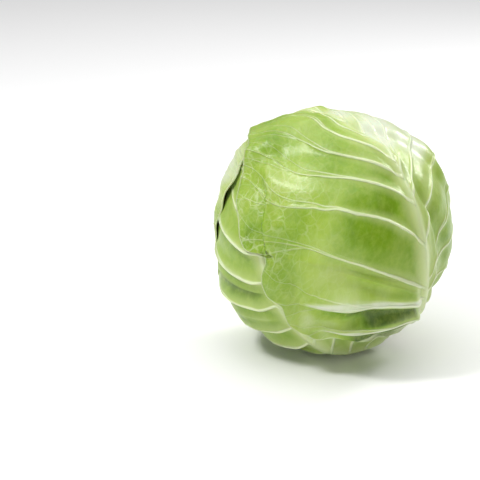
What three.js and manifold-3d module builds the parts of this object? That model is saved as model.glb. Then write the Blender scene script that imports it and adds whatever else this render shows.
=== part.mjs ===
// A round green cabbage head lying on its side, with its cut stalk at the lower right.
// Every leaf is a thin blade laid out on a flat chart: x across the midrib, y from stalk to tip.
// The chart wraps round the head, and each leaf rests on the leaves under it.
// Millimetres, +Z up, -Y is the front. The origin is the middle of the small flat spot it rests on.

import * as THREE from 'three'
import { mergeVertices } from 'three/addons/utils/BufferGeometryUtils.js'
import Module from 'manifold-3d'

const wasm = await Module()
wasm.setup()

// The head
const centreHeight = 83
const heartRadius = 63
const stalkWay = new THREE.Vector3(0.58, 0.02, -0.81).normalize()
const tipWay = stalkWay.clone().negate()
const stalkDimple = { way: stalkWay, depth: 1.5, spread: 24 }
const cheeks = [
  { way: tipWay, height: -3.5, spread: 48 },
  { way: new THREE.Vector3(0.03, 0, -1).normalize(), height: 17, spread: 33 },
  { way: new THREE.Vector3(-0.8, -0.1, -0.6).normalize(), height: 12, spread: 24 },
  { way: new THREE.Vector3(-1, 0, 0.25).normalize(), height: 5, spread: 38 },
  { way: new THREE.Vector3(1, 0, -0.1).normalize(), height: 1.5, spread: 35 }
]
const resting = { press: 0.7, spotAngle: 17, blend: 3 }

// The stalk: a cone that narrows into the heart
const stalkSlope = Math.tan(THREE.MathUtils.degToRad(9.1))
const stalkInner = 44
const stalkCut = 82
const stalkSides = 28
const fit = 0.3

// The leaves
const chartRadius = 85
const bladeThickness = 1.2
const marginThickness = 0.9
const leafGap = 0.9
const heartGap = 0.8
const facetSag = 1.4
const bedReach = 6
const leafAngle = 102.4
const frontTurn = 46.7
const goldenTurn = 137.5
const baseWidth = 34
const baseRow = -135
const topRow = 112
const outlineRadius = 124
const slopeReach = 15
const slopeStart = 4
const rib = { height: 3.4, tipHeight: 0.6, halfWidth: 5.2, tipHalfWidth: 1.6, widening: 22 }
const sideRib = { halfWidth: 6, fadeFrom: 40, fadeTo: 95 }

// Side ribs leave the midrib in a fan: y = s (1 + |x| / fanReach) + fanRise |x| + fanCurl x x
const fanReach = 66
const fanRise = 1.7
const fanCurl = 0.0026

const leftRibs = [-113, -99, -85, -66, -42, -20, -3, 18, 38, 58, 80, 100]
const rightRibs = [-106, -93, -72, -50, -30, -9, 8, 28, 48, 68, 90]

// Leaves from the innermost to the outermost. turn counts golden turns from the front leaf.
const leaves = [
  { name: 'leaf_7_inner_back', turn: 6, roll: -4, seed: 7, cell: 17, columns: 14, veins: 0.9 },
  { name: 'leaf_6_inner_front', turn: 5, roll: 6, seed: 6, cell: 17, columns: 14, veins: 0.9 },
  { name: 'leaf_5_underside', turn: 4, roll: -6, seed: 5, cell: 15, columns: 18, veins: 0.9, gap: 1.3 },
  { name: 'leaf_4_right', turn: 3, roll: 0, seed: 4, cell: 14, columns: 18, veins: 1.1 },
  { name: 'leaf_3_left', turn: 2, roll: 4, seed: 3, cell: 12.5, columns: 20, veins: 1.9 },
  { name: 'leaf_2_back', turn: 1, roll: -3, seed: 2, cell: 12.5, columns: 20, veins: 1.9 },
  { name: 'leaf_1_front', turn: 0, roll: 5, seed: 1, cell: 11, columns: 24, veins: 1.9 }
]
const leafShapes = {
  leaf_1_front: {
    sway: 18,
    lobes: [
      { at: -68, spread: 15, by: 9 },
      { at: -106, spread: 6, by: -17 },
      { at: -30, spread: 13, by: -6 },
      { at: -172, spread: 16, by: 8 }
    ],
    folds: [
      { at: -85, side: -1, height: 5, above: 13, below: 2.5 },
      { at: -99, side: -1, height: 4.5, above: 10, below: 2.5 }
    ],
    ruffle: 2.6
  },
  leaf_3_left: {
    sway: 6,
    lobes: [{ at: 40, spread: 20, by: 4 }],
    folds: [
      { at: -66, side: 1, height: 2.2, above: 12, below: 4 },
      { at: -85, side: 1, height: 2.4, above: 10, below: 3 }
    ],
    ruffle: 2.6
  }
}
const plainShape = { sway: 5, lobes: [], folds: [], ruffle: 2.6 }

const material = (colour, roughness) => new THREE.MeshStandardMaterial({ color: colour, roughness, metalness: 0 })
const leafGreen = ['#cfdc9f', '#c4d795', '#b4cd7e', '#a9c672', '#9fc067', '#a3c36c', '#94b85a']

const rad = THREE.MathUtils.degToRad
const deg = THREE.MathUtils.radToDeg
const lerp = THREE.MathUtils.lerp
const smooth = (v, from, to) => THREE.MathUtils.smoothstep(v, from, to)
const bell = (v, spread) => Math.exp(-((v / spread) ** 2))

// Numbers between 0 and 1 that depend only on the seed
function drawer(seed) {
  let state = seed * 7919 + 17
  return () => {
    state = (state * 16807) % 2147483647
    return state / 2147483647
  }
}

// Round the axis, turn 0 is the way that leans nearest to the front
const frontWay = new THREE.Vector3(0, -1, 0)
frontWay.addScaledVector(tipWay, -frontWay.dot(tipWay)).normalize()
const sideWay = new THREE.Vector3().crossVectors(tipWay, frontWay)

function facing(turn, angle) {
  const out = frontWay.clone().multiplyScalar(Math.cos(rad(turn)))
  out.addScaledVector(sideWay, Math.sin(rad(turn)))
  out.multiplyScalar(Math.sin(rad(angle)))
  return out.addScaledVector(stalkWay, Math.cos(rad(angle)))
}

// A leaf's own axes: centre of the blade, the way across it and the way to its tip
function leafAxes(leaf) {
  const centre = facing(frontTurn + goldenTurn * leaf.turn, leafAngle)
  const meridian = tipWay.clone().addScaledVector(centre, -tipWay.dot(centre)).normalize()
  const tip = meridian.clone().applyAxisAngle(centre, -rad(leaf.roll))
  const across = new THREE.Vector3().crossVectors(tip, centre)
  return { centre, across, tip }
}

function dressLeaf(leaf) {
  const draw = drawer(leaf.seed)
  const waves = [3, 5, 8].map((count) => ({ count, phase: draw() * 2 * Math.PI, share: 1 / Math.sqrt(count) }))
  return { gap: leafGap, ...leaf, ...leafAxes(leaf), ...(leafShapes[leaf.name] ?? plainShape), waves }
}

// The midrib sways a little to one side between stalk and tip, and starts at the stalk
const stalkRun = chartRadius * rad(leafAngle)
const baseLobe = { at: 0, spread: 20, by: 13 }
const bendAt = (leaf, y) => leaf.sway * Math.sin((Math.PI * (y + 5)) / 150)

function swayAt(leaf, y) {
  const stalkX = stalkRun * Math.sin(rad(leaf.roll))
  return bendAt(leaf, y) + (stalkX - bendAt(leaf, -stalkRun)) * smooth(-y, 90, stalkRun)
}

function chartToWay(leaf, x, y) {
  const chartX = x + swayAt(leaf, y)
  const run = Math.hypot(chartX, y)
  const arc = run / chartRadius
  const out = leaf.centre.clone().multiplyScalar(Math.cos(arc))
  const share = Math.sin(arc) / Math.max(run, 1e-9)
  return out.addScaledVector(leaf.across, chartX * share).addScaledVector(leaf.tip, y * share)
}

function wayToChart(leaf, way) {
  const arc = Math.acos(THREE.MathUtils.clamp(way.dot(leaf.centre), -1, 1))
  const across = way.dot(leaf.across)
  const along = way.dot(leaf.tip)
  const share = (arc * chartRadius) / Math.max(Math.hypot(across, along), 1e-9)
  const chartX = across * share
  const y = along * share
  return { chartX, x: chartX - swayAt(leaf, y), y }
}

// Distance inside the leaf's outline, which is a wavy circle; negative outside
function insideBy(leaf, chartX, y) {
  const angle = Math.atan2(chartX, -y)
  let reach = outlineRadius
  for (const wave of leaf.waves) {
    reach += leaf.ruffle * wave.share * Math.sin(wave.count * angle + wave.phase)
  }
  for (const lobe of [baseLobe, ...leaf.lobes]) {
    const off = deg(angle) - lobe.at
    const turned = off - 360 * Math.round(off / 360)
    reach += lobe.by * bell(turned, lobe.spread)
  }
  return reach - Math.hypot(chartX, y)
}

const fanY = (s, x) => s * (1 + Math.abs(x) / fanReach) + fanRise * Math.abs(x) + fanCurl * x * x
const fanS = (x, y) => (y - fanRise * Math.abs(x) - fanCurl * x * x) / (1 + Math.abs(x) / fanReach)

// Half-widths and heights shrink evenly from stalk to tip
const alongLeaf = (y) => THREE.MathUtils.clamp((y + outlineRadius) / (2 * outlineRadius), 0, 1)
const ribHalfWidth = (y) => lerp(rib.halfWidth, rib.tipHalfWidth, alongLeaf(y))
const ribHeight = (y) => lerp(rib.height, rib.tipHeight, Math.sqrt(alongLeaf(y)))

// 1 over the spot that the head rests on, where every leaf is pressed smooth
function restingShare(way) {
  const off = deg(Math.acos(THREE.MathUtils.clamp(-way.z, -1, 1)))
  return 1 - smooth(off, resting.spotAngle, resting.spotAngle + 14)
}

// Ridges of the side ribs
function sideRibHeight(leaf, x, y) {
  const s = fanS(x, y)
  const starts = x < 0 ? leftRibs : rightRibs
  let nearest = Infinity
  for (const start of starts) nearest = Math.min(nearest, Math.abs(s - start))
  const away = smooth(Math.abs(x), 1, 12) * (1 - 0.4 * smooth(Math.abs(x), 60, 120))
  const fade = away * (1 - smooth(s, sideRib.fadeFrom, sideRib.fadeTo))
  return leaf.veins * fade * Math.max(0, 1 - nearest / sideRib.halfWidth)
}

// Overlapping pleats: each rises slowly from above and drops steeply below its crest
function foldHeight(leaf, x, y) {
  const s = fanS(x, y)
  let height = 0
  for (const fold of leaf.folds) {
    if (Math.sign(x) !== fold.side) continue
    const off = s - fold.at
    const shape = off >= 0 ? 1 - smooth(off, 0, fold.above) : 1 - smooth(-off, 0, fold.below)
    height = Math.max(height, fold.height * shape)
  }
  return height * smooth(Math.abs(x), 4, 26)
}

// 1 where a leaf lies under one of the leaves outside it
function coveredShare(overLeaves, way) {
  let share = 0
  for (const over of overLeaves) {
    const { chartX, y } = wayToChart(over, way)
    share = Math.max(share, smooth(insideBy(over, chartX, y), -36, -14))
  }
  return share
}

// The margin waves outwards where nothing lies on it
function marginLift(leaf, chartX, y, inside) {
  const angle = Math.atan2(chartX, -y)
  let wave = 0
  for (const part of leaf.waves) wave += part.share * Math.sin(part.count * 3 * angle + part.phase)
  const nearStalk = 1 - smooth(Math.abs(angle), 0.2, 0.7)
  return leaf.ruffle * (0.6 + 0.6 * wave) * (1 - smooth(inside, 0, 16)) * (1 - nearStalk)
}

// Round, fuller where the head bulges, and flattened over the ground by as much as keeps the
// outermost leaf there level
function heartSurface(way) {
  let radius = heartRadius
  for (const cheek of cheeks) {
    radius += cheek.height * bell(deg(way.angleTo(cheek.way)), cheek.spread)
  }
  radius -= stalkDimple.depth * bell(deg(way.angleTo(stalkDimple.way)), stalkDimple.spread)
  if (way.z > -0.7) return radius
  const layers = dressed.reduce((sum, leaf) => sum + layerHeight(leaf, way), heartGap)
  const plane = (centreHeight + resting.press) / -way.z - layers
  const mix = THREE.MathUtils.clamp(0.5 + (0.5 * (plane - radius)) / resting.blend, 0, 1)
  return lerp(plane, radius, mix) - resting.blend * mix * (1 - mix)
}

// How far a leaf raises what lies over it, sloping off beyond its outline
function layerHeight(leaf, way) {
  const { chartX, x, y } = wayToChart(leaf, way)
  const inside = insideBy(leaf, chartX, y)
  const share = smooth(inside, -slopeStart - slopeReach, -slopeStart)
  if (share === 0) return 0
  const ribShare = bell(Math.max(0, Math.abs(x) - ribHalfWidth(y)), rib.widening)
  const ribPart = ribHeight(y) * ribShare
  const pressed = 1 - restingShare(way)
  const foldPart = leaf.folds.length > 0 ? foldEnvelope(leaf, x, y) : 0
  const veinPart = leaf.veins * (1 - smooth(fanS(x, y), sideRib.fadeFrom + 10, sideRib.fadeTo + 10))
  const relief = Math.max(ribPart, veinPart) + foldPart
  return share * (bladeThickness + leaf.gap + facetSag + relief * pressed)
}

function foldEnvelope(leaf, x, y) {
  const s = fanS(x, y)
  let height = 0
  for (const fold of leaf.folds) {
    const near = bell(Math.max(0, Math.abs(s - fold.at) - fold.above), 10)
    height = Math.max(height, fold.height * near * smooth(x * fold.side, -20, 8))
  }
  return height
}

// Height of the underside of a leaf over the leaves it lies on. The highest of five near places
// counts, so that no facet of the blade cuts through a margin below it.
function bedSurface(leaf, underLeaves, way) {
  const stray = bedReach / chartRadius
  const over = new THREE.Vector3().crossVectors(way, leaf.tip).normalize()
  const up = new THREE.Vector3().crossVectors(way, over)
  const steps = [[0, 0], [1, 0], [-1, 0], [0, 1], [0, -1]]
  const heights = steps.map(([across, along]) => {
    const near = way.clone().addScaledVector(over, across * stray).addScaledVector(up, along * stray)
    near.normalize()
    return underLeaves.reduce((sum, under) => sum + layerHeight(under, near), heartSurface(near))
  })
  return heartGap + leaf.gap + facetSag + Math.max(...heights)
}

// The chart's rows run along the side ribs, with more between them where they open out
function rowStarts(leaf) {
  const ribs = leaf.cell < 13 ? [...leftRibs, ...rightRibs] : leftRibs
  const feet = leaf.folds.map((fold) => fold.at - fold.below)
  const starts = [baseRow, ...ribs, ...feet].filter((s) => s < topRow).sort((a, b) => a - b)
  for (let i = 1; i < starts.length; i++) {
    const step = starts[i] - starts[i - 1]
    const opening = 1 + rowReach(leaf, starts[i], -1) / fanReach
    const parts = Math.ceil(Math.max(step / leaf.cell, (step * opening) / (1.8 * leaf.cell)))
    for (let k = parts - 1; k > 0; k--) starts.splice(i, 0, starts[i - 1] + (step * k) / parts)
    i += parts - 1
  }
  return starts
}

// Where a row meets the outline on one side, by halving
function rowReach(leaf, s, side) {
  let low = 0
  let high = 150
  for (let i = 0; i < 30; i++) {
    const x = (side * (low + high)) / 2
    const y = fanY(s, x)
    if (insideBy(leaf, x + swayAt(leaf, y), y) > 0) low = Math.abs(x)
    else high = Math.abs(x)
  }
  return s === baseRow ? Math.min(low, baseWidth / 2) : low
}

// Stations across a row: the midrib's crest and flanks, then even steps to the margin
function rowStations(leaf, s) {
  const half = leaf.columns / 2
  const side = (sign) => {
    const reach = rowReach(leaf, s, sign)
    const flank = Math.min(ribHalfWidth(s), reach * 0.25)
    const list = [flank, flank * 1.7]
    for (let i = 1; i <= half - 2; i++) list.push(lerp(flank * 1.7, reach, i / (half - 2)))
    return list.map((x) => x * sign)
  }
  return [...side(-1).reverse(), 0, ...side(1)]
}

function tipOf(leaf) {
  let low = 60
  let high = 150
  for (let i = 0; i < 30; i++) {
    const y = (low + high) / 2
    if (insideBy(leaf, swayAt(leaf, y), y) > 0) low = y
    else high = y
  }
  return low
}

// Underside and outer point of a blade at one place of its chart
function bladePoints(leaf, underLeaves, overLeaves, x, y) {
  const way = chartToWay(leaf, x, y)
  const inside = Math.max(0, insideBy(leaf, x + swayAt(leaf, y), y))
  const pressed = 1 - restingShare(way)
  const wave = marginLift(leaf, x + swayAt(leaf, y), y, inside) * (1 - coveredShare(overLeaves, way))
  const lift = foldHeight(leaf, x, y) + wave
  const under = bedSurface(leaf, underLeaves, way) + lift * pressed
  const ribPart = ribHeight(y) * bell(x, ribHalfWidth(y) * 1.1)
  const blade = lerp(marginThickness, bladeThickness, smooth(inside, 0, 8))
  const outer = under + blade + Math.max(ribPart, sideRibHeight(leaf, x, y)) * pressed
  return [way.clone().multiplyScalar(under), way.multiplyScalar(outer)]
}

function closedBody(points, faces) {
  const geometry = new THREE.BufferGeometry()
  geometry.setAttribute('position', new THREE.Float32BufferAttribute(points.flatMap((p) => [p.x, p.y, p.z]), 3))
  geometry.setIndex(faces.flat())
  return geometry
}

function bladeGeometry(leaf, underLeaves, overLeaves) {
  const outer = []
  const inner = []
  const put = (x, y) => {
    const [under, over] = bladePoints(leaf, underLeaves, overLeaves, x, y)
    inner.push(under)
    outer.push(over)
  }
  const starts = rowStarts(leaf)
  for (const s of starts) {
    for (const x of rowStations(leaf, s)) put(x, fanY(s, x))
  }
  put(0, tipOf(leaf))

  const wide = leaf.columns + 1
  const tip = outer.length - 1
  const half = leaf.columns / 2
  const upper = []
  for (let row = 0; row < starts.length; row++) {
    for (let col = 0; col < leaf.columns; col++) {
      const a = row * wide + col
      if (row === starts.length - 1) {
        upper.push([a, a + 1, tip])
        continue
      }
      const c = a + wide
      if (col < half) upper.push([a, a + 1, c + 1], [a, c + 1, c])
      else upper.push([a, a + 1, c], [a + 1, c + 1, c])
    }
  }
  const shift = outer.length
  const lower = upper.map(([a, b, c]) => [a + shift, c + shift, b + shift])

  const loop = []
  for (let col = 0; col < leaf.columns; col++) loop.push(col)
  for (let row = 0; row < starts.length; row++) loop.push(row * wide + leaf.columns)
  loop.push(tip)
  for (let row = starts.length - 1; row > 0; row--) loop.push(row * wide)
  const rim = loop.flatMap((from, i) => {
    const to = loop[(i + 1) % loop.length]
    return [[to, from, from + shift], [to, from + shift, to + shift]]
  })
  return closedBody([...outer, ...inner], [...upper, ...lower, ...rim])
}

// The heart: tightly wrapped inner leaves, whose margins show as low steps round it
function heartGeometry() {
  const geometry = new THREE.IcosahedronGeometry(1, 6)
  geometry.deleteAttribute('normal')
  geometry.deleteAttribute('uv')
  const merged = mergeVertices(geometry, 1e-5)
  const place = merged.attributes.position
  for (let i = 0; i < place.count; i++) {
    const way = new THREE.Vector3().fromBufferAttribute(place, i).normalize()
    const turn = Math.atan2(way.dot(sideWay), way.dot(frontWay)) / (2 * Math.PI)
    const wrap = (((turn * 3 + deg(way.angleTo(stalkWay)) / 140) % 1) + 1) % 1
    way.multiplyScalar(heartSurface(way) - 0.9 * wrap * smooth(deg(way.angleTo(tipWay)), 5, 30))
    place.setXYZ(i, way.x, way.y, way.z)
  }
  return merged
}

// A cone of the stalk between two distances from the head's centre
function stalkGeometry(from, to, clearance) {
  const profile = [
    new THREE.Vector2(0, from),
    new THREE.Vector2(from * stalkSlope + clearance, from),
    new THREE.Vector2(to * stalkSlope + clearance, to),
    new THREE.Vector2(0, to)
  ]
  const geometry = new THREE.LatheGeometry(profile, stalkSides)
  const turn = new THREE.Quaternion().setFromUnitVectors(new THREE.Vector3(0, 1, 0), stalkWay)
  return geometry.applyQuaternion(turn)
}

function toSolid(geometry) {
  const bare = geometry.clone()
  bare.deleteAttribute('normal')
  bare.deleteAttribute('uv')
  const merged = mergeVertices(bare, 1e-4)
  return new wasm.Manifold(new wasm.Mesh({
    numProp: 3,
    vertProperties: Float32Array.from(merged.attributes.position.array),
    triVerts: Uint32Array.from(merged.index.array)
  }))
}

function toGeometry(solid) {
  const mesh = solid.getMesh()
  const geometry = new THREE.BufferGeometry()
  geometry.setAttribute('position', new THREE.Float32BufferAttribute(mesh.vertProperties, 3))
  geometry.setIndex(new THREE.Uint32BufferAttribute(mesh.triVerts, 1))
  return geometry
}

const ground = new THREE.BoxGeometry(300, 300, 60).translate(0, 0, -30)

// Raise a body to its place over the ground and press its underside flat there
function settle(geometry) {
  geometry.translate(0, 0, centreHeight)
  geometry.computeBoundingBox()
  if (geometry.boundingBox.min.z >= 0) return geometry
  return toGeometry(toSolid(geometry).subtract(toSolid(ground)))
}

function addPart(name, geometry, colour, roughness) {
  const mesh = new THREE.Mesh(geometry, material(colour, roughness))
  mesh.name = name
  head.add(mesh)
}

const dressed = leaves.map(dressLeaf)
const head = new THREE.Group()

const socket = toSolid(stalkGeometry(stalkInner - fit, stalkCut + 10, fit))
addPart('heart', settle(toGeometry(toSolid(heartGeometry()).subtract(socket))), '#e3e9bd', 0.6)
addPart('stalk', settle(stalkGeometry(stalkInner, stalkCut, 0)), '#dfe3c0', 0.7)

dressed.forEach((leaf, i) => {
  addPart(leaf.name, settle(bladeGeometry(leaf, dressed.slice(0, i), dressed.slice(i + 1))), leafGreen[i], 0.45)
})

export default head
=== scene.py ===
import math

import bpy
import numpy as np
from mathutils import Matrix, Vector


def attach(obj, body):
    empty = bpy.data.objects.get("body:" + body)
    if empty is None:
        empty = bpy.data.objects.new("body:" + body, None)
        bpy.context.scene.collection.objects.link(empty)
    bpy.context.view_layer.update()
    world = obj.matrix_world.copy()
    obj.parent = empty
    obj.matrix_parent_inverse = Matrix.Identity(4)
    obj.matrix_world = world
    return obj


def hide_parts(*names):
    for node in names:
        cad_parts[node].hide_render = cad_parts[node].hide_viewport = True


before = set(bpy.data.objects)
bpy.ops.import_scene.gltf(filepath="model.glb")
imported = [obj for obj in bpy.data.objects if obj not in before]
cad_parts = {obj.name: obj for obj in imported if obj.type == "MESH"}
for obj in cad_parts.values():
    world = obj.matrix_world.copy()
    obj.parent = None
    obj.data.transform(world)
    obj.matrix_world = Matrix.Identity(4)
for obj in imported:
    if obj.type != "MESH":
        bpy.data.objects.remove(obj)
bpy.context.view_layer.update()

# Millimetres round the head's centre, and degrees, until a mesh is made

headShape = {
    "centreHeight": 83.0,
    "heartRadius": 63.0,
    "stalkWay": (0.58, 0.02, -0.81),  # from the centre to the cut stalk
    "stalkDimple": (1.5, 24.0),  # depth and spread
    "press": 0.7,  # how far the leaves are pressed flat on the ground
    "pressedSpot": 17.0,  # degrees from straight down
    "pressFade": 14.0,
    "pressBlend": 3.0,
    "groundFrom": 0.7,  # share of straight down from which the ground limits the heart
}
bulges = [  # way, height and spread
    ((-0.58, -0.02, 0.81), -3.5, 48.0),
    ((0.03, 0.0, -1.0), 17.0, 33.0),
    ((-0.8, -0.1, -0.6), 12.0, 24.0),
    ((-1.0, 0.0, 0.25), 5.0, 38.0),
    ((1.0, 0.0, -0.1), 1.5, 35.0),
]
chart = {
    "radius": 85.0,  # a leaf's chart is measured on this sphere
    "leafAngle": 102.4,  # from the stalk to a leaf's middle
    "frontTurn": 46.7,
    "goldenTurn": 137.5,  # from one leaf to the next
    "outline": 124.0,
    "ruffle": 2.6,  # waves of the outline and the margin
    "stalkLobe": (0.0, 20.0, 13.0),  # a lobe as in dressLeaf, at the leaf's foot
    "base": -135.0,  # where the blade ends on the midrib
    "baseWidth": 34.0,
    "fanReach": 66.0,  # the solids' side veins: y = s (1 + |x| / fanReach) + fanRise |x| + fanCurl x x
    "fanRise": 1.7,
    "fanCurl": 0.0026,
    "hold": 0.36,  # length of a Bezier handle as a share of the vein's span
}
stack = {
    "blade": 1.2,  # thickness in the middle and at the margin
    "margin": 0.9,
    "marginReach": 8.0,
    "gap": 0.9,  # air under a leaf
    "ease": 1.4,
    "heartGap": 0.8,
    "slopeStart": 4.0,
    "slopeReach": 15.0,
    "bedReach": 6.0,  # how far round a point its bed looks for the highest place
    "bedMiddle": 80.0,
    "bedSharpness": 1.5,
    "ribWidening": 22.0,
}
midrib = {
    "height": 3.4,
    "tipHeight": 0.6,
    "halfWidth": 5.2,
    "tipHalfWidth": 1.6,
    "foot": 1.1,  # widening of the ridge
    "paleWidth": 0.95,
    "paleFade": 0.35,
    "bend": (5, 150),  # start and length of half a wave
    "stalkBend": 90,  # from here down it turns to the stalk
    "middleShift": (-140, -105),
    "tipShift": (50, 100),
}
sideVein = {
    "halfWidth": 1.3,
    "tipHalfWidth": 0.55,
    "height": 0.9,
    "swell": 1.2,
    "swellWidth": 5.0,
    "start": (2, 9),  # from the midrib, where a vein begins and is full
    "thinning": 0.7,
    "puff": 1.1,
    "puffStart": (8, 30),
    "puffMargin": 15.0,
    "solidEnd": (50, 105),  # start on the midrib from which the solids' veins fade
}
pleatForm = {
    "start": (0.02, 0.14),  # outward from the midrib, where a pleat begins and is full
    "fade": 0.35,
    "crest": 1.0,
    "drop": 1.6,  # from the crest, where the steep side begins
    "rowReach": (0.7, 1.2),
    # the next four place the painted shade in a pleat's hollow and the painted highlight along its crest
    "hollowShadeEdge": (2, 13),
    "crestShift": 2.2,
    "crestWidth": 2.6,
    "crestHighlight": 0.9,
    "roomFade": 10,
    "roomSide": (-20, 8),
}
creaseForm = {
    "sway": 2,
    "swayCount": 7,
    "start": (-0.35, 0.05),
    "end": (0.55, 1.1),
    "edge": (-1.3, 0.5),
    "tuckReach": (-16, -2),
    "tuckRest": 0.35,
    "lip": (0.4, 1.4, 4),  # height share, place and width
    "slit": (1.0, 1.8),  # place and width of the painted shade in the slit
    # how much painted shade darkens the slit
    "slitShade": 1.1,
}
margin = {"reach": 16.0, "rise": 0.6, "wave": 0.6, "waveCount": 3, "quiet": (0.2, 0.7)}
gridSteps = {"veinPull": 0.11, "ribPull": 1.35}  # rows are closer at a vein, columns at the midrib


def unit(v):
    v = np.asarray(v, float)
    return v / np.linalg.norm(v, axis=-1, keepdims=True)


def bell(v, spread):  # 1 at 0 and 1/e at the spread
    return np.exp(-((v / spread) ** 2))


def smooth(v, low, high):  # a smooth step from 0 at low to 1 at high
    t = np.clip((v - low) / (high - low), 0, 1)
    return t * t * (3 - 2 * t)


def mix(a, b, share):
    return a + (b - a) * share


def degreesFrom(ways, way):
    return np.degrees(np.arccos(np.clip(ways @ unit(way), -1, 1)))


stalkWay = unit(headShape["stalkWay"])
tipWay = -stalkWay
frontWay = np.array([0.0, -1.0, 0.0])
frontWay = unit(frontWay - tipWay * (frontWay @ tipWay))
sideWay = np.cross(tipWay, frontWay)


def drawNumbers(seed, count):  # numbers between 0 and 1 by a plain remainder rule, the same on every run
    divisor = 2147483647
    state = seed * 7919 + 17
    numbers = []
    for _ in range(count):
        state = state * 16807 % divisor
        numbers.append(state / divisor)
    return numbers


def plainVeins(seed):
    # side veins for the leaves that show less: their start on the midrib, and for the left and the
    # right side the angle of the end on the outline, and the angles at which a vein leaves and arrives
    starts = np.array([-115, -99, -84, -66, -45, -24, -3, 18, 38, 58, 79], float)
    draws = np.array(drawNumbers(seed + 40, 7 * len(starts))).reshape(7, -1) - 0.5
    starts += 5 * draws[0]
    ends = np.interp(starts, (-118, -99, -85, -66, -42, -20, -3, 18, 40, 60, 85),
                     (32, 66, 90, 112, 131, 143, 151, 159, 165, 170, 175))
    return np.stack([starts, -ends + 3 * draws[1], 50 + 10 * draws[2], 28 + 16 * draws[3],
                     ends + 3 * draws[4], 50 + 10 * draws[5], 28 + 16 * draws[6]], axis=1)


def dressLeaf(name, turn, roll, seed, veins, rows, columns, gap=stack["gap"], sway=5.0, ribShift=(0, 0),
              lobes=(), folds=(), pleats=(), veinTable=None, crease=None, spots=(), bumps=(), lift=1.0,
              shade=0.6):
    # a leaf's values with its own axes: centre of the blade, across it, and to its tip.
    # lobes: angle on the outline, spread, how far it goes out
    # folds: start on the midrib, side, height and reach of the room that the leaves above leave for pleats
    # pleats: vein row, side, height, reach above and below the crest, overhang, how far outward it runs
    # crease: the two ends of a fold in the blade, and its depth
    # spots: x, y, spread, and how much deeper green, or paler below 0; partly the leaf's own tone and partly
    # painted light, with painted shade in deeper spots and a whitish painted reflection, through the sheen,
    # in paler ones
    # bumps: x, y, spread, height
    around = math.radians(chart["frontTurn"] + chart["goldenTurn"] * turn)
    tilt = math.radians(chart["leafAngle"])
    centre = math.sin(tilt) * (math.cos(around) * frontWay + math.sin(around) * sideWay)
    centre = centre + math.cos(tilt) * stalkWay
    meridian = unit(tipWay - centre * (tipWay @ centre))
    lean = math.radians(roll)
    tip = math.cos(lean) * meridian + math.sin(lean) * np.cross(meridian, centre)
    waves = [(count, draw * 2 * math.pi, 1 / math.sqrt(count))
             for count, draw in zip((3, 5, 8), drawNumbers(seed, 3))]
    table = plainVeins(seed) if veinTable is None else np.array(veinTable, float)
    return dict(name=name, centre=centre, tip=tip, across=np.cross(tip, centre), roll=roll, seed=seed,
                veins=veins, rows=rows, columns=columns, gap=gap, sway=sway, folds=folds, waves=waves,
                pleats=pleats, ribShift=ribShift, lobes=[chart["stalkLobe"], *lobes], veinTable=table,
                crease=crease, spots=spots, lift=lift, shade=shade, bumps=bumps)


# Side veins of two leaves: start on the midrib, then for the left and the right side the angle of the
# end on the outline from the stalk's side, and the angles at which it leaves and arrives

frontVeins = [(-129, -42, 60, 60, 30, 60, 60), (-105, -64, 56, 62, 52, 50, 50),
              (-88, -86, 50, 48, 72, 45, 45), (-77, -121, 44, 36, 87, 40, 45),
              (-43, -150, 32, -16, 101, 38, 42), (-15, -160, 36, -4, 115, 36, 35),
              (3, -170, 40, 5, 133, 34, 30), (15, -180, 32, 0, 142, 34, 25), (38, -185, 30, 5, 148, 34, 22),
              (62, -190, 30, 8, 153, 34, 20), (86, -194, 30, 10, 157, 34, 20)]

leftVeins = [(-115, -30, 66, 76, 32, 50, 40), (-101, -46, 66, 74, 64, 52, 38),
             (-84, -60, 70, 78, 90, 50, 36), (-66, -76, 68, 74, 110, 48, 36),
             (-46, -90, 72, 76, 131, 52, 32), (-24, -104, 68, 72, 143, 50, 30),
             (-3, -118, 70, 70, 151, 50, 28), (18, -132, 64, 64, 159, 48, 28),
             (38, -146, 60, 56, 165, 48, 28), (58, -158, 54, 46, 170, 50, 28),
             (79, -170, 50, 36, 175, 50, 28)]

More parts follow.
